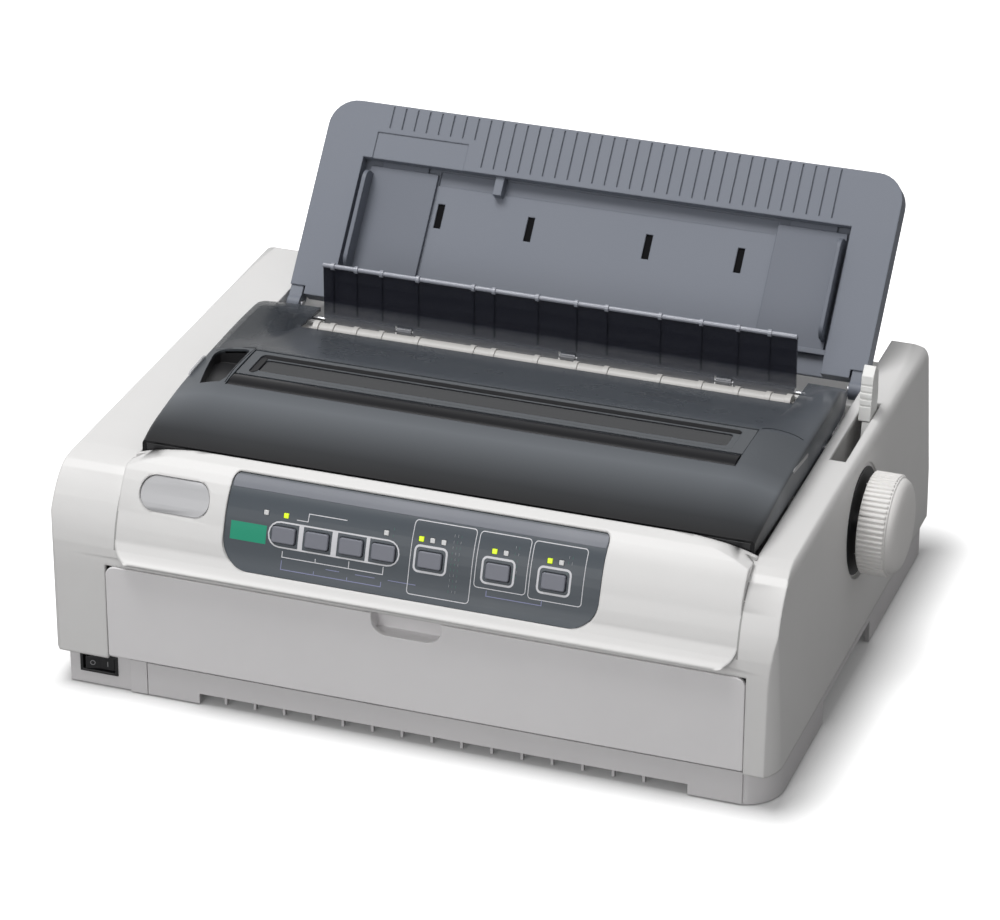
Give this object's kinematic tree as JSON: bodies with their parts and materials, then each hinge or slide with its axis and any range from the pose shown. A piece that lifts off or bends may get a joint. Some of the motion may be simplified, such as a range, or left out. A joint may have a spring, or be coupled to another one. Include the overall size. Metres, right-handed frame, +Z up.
{
  "type": "dot matrix printer",
  "caption": "Desktop impact printer with a smoked hinged top cover, slanted control panel, fold-down front door, side platen knob and a raised rear sheet guide.",
  "frame": {"origin": "centre of the footprint box, at the table", "axes": "+X to the user's right, +Y to the rear, +Z up; the front door faces -Y"},
  "size_m": [0.398, 0.3102, 0.2042],
  "materials": {
    "case_plastic": "fine texture",
    "base_plastic": "fine texture",
    "panel_plastic": "satin",
    "key_plastic": "satin",
    "guide_plastic": "fine texture",
    "smoked_plastic": "polished, tinted",
    "flap_plastic": "polished, tinted",
    "black_plastic": "satin",
    "white_plastic": "satin",
    "lens": "polished",
    "silver_plate": "brushed",
    "steel": "plain",
    "zinc_sheet": "zinc plated",
    "dark_metal": "satin",
    "board": "satin",
    "rubber": "matt"
  },
  "bodies": {
    "chassis": {"base_tray": "base_plastic", "lower_front_panel": "base_plastic", "rubber_feet": "rubber", "upper_case": "case_plastic", "control_panel": "panel_plastic", "led_lenses": "lens", "panel_board": "board", "badge_plate": "silver_plate", "left_side_frame": "zinc_sheet", "right_side_frame": "zinc_sheet", "guide_shafts": "steel", "carriage_belt": "rubber", "carriage_motor": "dark_metal", "line_feed_motor": "dark_metal", "gear_bracket": "zinc_sheet", "platen_bushings": "white_plastic", "paper_chute": "black_plastic", "tear_bar": "black_plastic", "main_board": "board", "power_supply": "zinc_sheet", "interface_ports": "black_plastic", "power_inlet": "black_plastic", "switch_housing": "black_plastic", "pivot_pins": "steel", "case_screws": "steel"},
    "platen": {"platen_roller": "rubber", "platen_shaft": "steel", "platen_gear": "white_plastic", "platen_knob": "case_plastic"},
    "pull_up_idler": {"pull_up_idler": "white_plastic"},
    "pull_up_roller": {"pull_up_roller": "white_plastic"},
    "tractor_idler": {"tractor_idler": "white_plastic"},
    "tractor_shaft": {"tractor_shaft": "steel"},
    "motor_pinion": {"motor_pinion": "steel"},
    "exit_rollers": {"exit_rollers": "white_plastic"},
    "carriage": {"carriage": "black_plastic", "print_head": "dark_metal", "ribbon_cartridge": "black_plastic"},
    "drive_pulley": {"drive_pulley": "white_plastic"},
    "idler_pulley": {"idler_pulley": "white_plastic"},
    "top_cover": {"top_cover": "smoked_plastic"},
    "window_lid": {"window_lid": "smoked_plastic"},
    "front_door": {"front_door": "base_plastic"},
    "sheet_guide": {"sheet_guide": "guide_plastic"},
    "edge_guide_left": {"edge_guide_left": "guide_plastic"},
    "edge_guide_right": {"edge_guide_right": "guide_plastic"},
    "exit_flap": {"exit_flap": "flap_plastic"},
    "paper_lever": {"paper_lever": "white_plastic"},
    "power_rocker": {"power_rocker": "black_plastic"},
    "tractor_left": {"tractor_left": "black_plastic"},
    "tractor_right": {"tractor_right": "black_plastic"},
    "button_1": {"button_1": "key_plastic"},
    "button_2": {"button_2": "key_plastic"},
    "button_3": {"button_3": "key_plastic"},
    "button_4": {"button_4": "key_plastic"},
    "button_5": {"button_5": "key_plastic"},
    "button_6": {"button_6": "key_plastic"},
    "button_7": {"button_7": "key_plastic"}
  },
  "joints": [
    {"name": "platen_turn", "type": "hinge", "parent": "chassis", "child": "platen", "pos_m": [0, 0.00179, 0.0817], "axis": [1, 0, 0], "continuous": true},
    {"name": "pull_up_idler_turn", "type": "hinge", "parent": "chassis", "child": "pull_up_idler", "pos_m": [0, 0.0317, 0.09786], "axis": [1, 0, 0], "continuous": true},
    {"name": "pull_up_turn", "type": "hinge", "parent": "chassis", "child": "pull_up_roller", "pos_m": [0, 0.04299, 0.1179], "axis": [1, 0, 0], "continuous": true},
    {"name": "tractor_idler_turn", "type": "hinge", "parent": "chassis", "child": "tractor_idler", "pos_m": [0, 0.01879, 0.05226], "axis": [1, 0, 0], "continuous": true},
    {"name": "tractor_turn", "type": "hinge", "parent": "chassis", "child": "tractor_shaft", "pos_m": [0, 0.04604, 0.06217], "axis": [1, 0, 0], "continuous": true},
    {"name": "pinion_turn", "type": "hinge", "parent": "chassis", "child": "motor_pinion", "pos_m": [0, -0.00971, 0.06178], "axis": [1, 0, 0], "continuous": true},
    {"name": "exit_turn", "type": "hinge", "parent": "chassis", "child": "exit_rollers", "pos_m": [0, 0.01039, 0.112], "axis": [1, 0, 0], "continuous": true},
    {"name": "carriage_travel", "type": "slide", "parent": "chassis", "child": "carriage", "axis": [1, 0, 0], "range_m": [0, 0.18]},
    {"name": "drive_pulley_turn", "type": "hinge", "parent": "chassis", "child": "drive_pulley", "pos_m": [-0.121, -0.07561, 0.042], "axis": [0, 0, 1], "continuous": true},
    {"name": "idler_pulley_turn", "type": "hinge", "parent": "chassis", "child": "idler_pulley", "pos_m": [0.115, -0.07561, 0.042], "axis": [0, 0, 1], "continuous": true},
    {"name": "cover_open", "type": "hinge", "parent": "chassis", "child": "top_cover", "pos_m": [0, 0.05239, 0.116], "axis": [-1, 0, 0], "range_deg": [0, 60]},
    {"name": "window_open", "type": "hinge", "parent": "top_cover", "child": "window_lid", "pos_m": [0, -0.02981, 0.1364], "axis": [-1, 0, 0], "range_deg": [0, 85]},
    {"name": "door_open", "type": "hinge", "parent": "chassis", "child": "front_door", "pos_m": [0, -0.14781, 0.0226], "axis": [1, 0, 0], "range_deg": [0, 90]},
    {"name": "guide_fold", "type": "hinge", "parent": "chassis", "child": "sheet_guide", "pos_m": [0, 0.07639, 0.1145], "axis": [-1, 0, 0], "range_deg": [0, 49.7]},
    {"name": "edge_left_slide", "type": "slide", "parent": "sheet_guide", "child": "edge_guide_left", "axis": [1, 0, 0], "range_m": [0, 0.03]},
    {"name": "edge_right_slide", "type": "slide", "parent": "sheet_guide", "child": "edge_guide_right", "axis": [1, 0, 0], "range_m": [-0.11, 0]},
    {"name": "flap_tilt", "type": "hinge", "parent": "chassis", "child": "exit_flap", "pos_m": [0, 0.05399, 0.1196], "axis": [-1, 0, 0], "range_deg": [-20, 35]},
    {"name": "lever_shift", "type": "hinge", "parent": "chassis", "child": "paper_lever", "pos_m": [0, 0.02089, 0.07], "axis": [1, 0, 0], "range_deg": [0, 40]},
    {"name": "power_rock", "type": "hinge", "parent": "chassis", "child": "power_rocker", "pos_m": [-0.1738, -0.14221, 0.0127], "axis": [0, 0, 1], "range_deg": [-12, 0]},
    {"name": "tractor_left_slide", "type": "slide", "parent": "chassis", "child": "tractor_left", "axis": [1, 0, 0], "range_m": [0, 0.085]},
    {"name": "tractor_right_slide", "type": "slide", "parent": "chassis", "child": "tractor_right", "axis": [1, 0, 0], "range_m": [-0.085, 0]},
    {"name": "button_1_press", "type": "slide", "parent": "chassis", "child": "button_1", "axis": [0, 0.9432, -0.3323], "range_m": [0, 0.0008], "stiffness_N_per_m": 400, "springref_m": -0.001},
    {"name": "button_2_press", "type": "slide", "parent": "chassis", "child": "button_2", "axis": [0, 0.9432, -0.3323], "range_m": [0, 0.0008], "stiffness_N_per_m": 400, "springref_m": -0.001},
    {"name": "button_3_press", "type": "slide", "parent": "chassis", "child": "button_3", "axis": [0, 0.9432, -0.3323], "range_m": [0, 0.0008], "stiffness_N_per_m": 400, "springref_m": -0.001},
    {"name": "button_4_press", "type": "slide", "parent": "chassis", "child": "button_4", "axis": [0, 0.9432, -0.3323], "range_m": [0, 0.0008], "stiffness_N_per_m": 400, "springref_m": -0.001},
    {"name": "button_5_press", "type": "slide", "parent": "chassis", "child": "button_5", "axis": [0, 0.9432, -0.3323], "range_m": [0, 0.0008], "stiffness_N_per_m": 400, "springref_m": -0.001},
    {"name": "button_6_press", "type": "slide", "parent": "chassis", "child": "button_6", "axis": [0, 0.9432, -0.3323], "range_m": [0, 0.0008], "stiffness_N_per_m": 400, "springref_m": -0.001},
    {"name": "button_7_press", "type": "slide", "parent": "chassis", "child": "button_7", "axis": [0, 0.9432, -0.3323], "range_m": [0, 0.0008], "stiffness_N_per_m": 400, "springref_m": -0.001}
  ],
  "couplings": [
    {"joint": "pull_up_idler_turn", "follows": "platen_turn", "ratio": -1},
    {"joint": "pull_up_turn", "follows": "platen_turn", "ratio": 2.8333},
    {"joint": "tractor_idler_turn", "follows": "platen_turn", "ratio": -1},
    {"joint": "tractor_turn", "follows": "platen_turn", "ratio": 1.4167},
    {"joint": "pinion_turn", "follows": "platen_turn", "ratio": -2.8333},
    {"joint": "drive_pulley_turn", "follows": "carriage_travel", "rad_per_m": 119.05},
    {"joint": "idler_pulley_turn", "follows": "carriage_travel", "rad_per_m": 119.05}
  ]
}
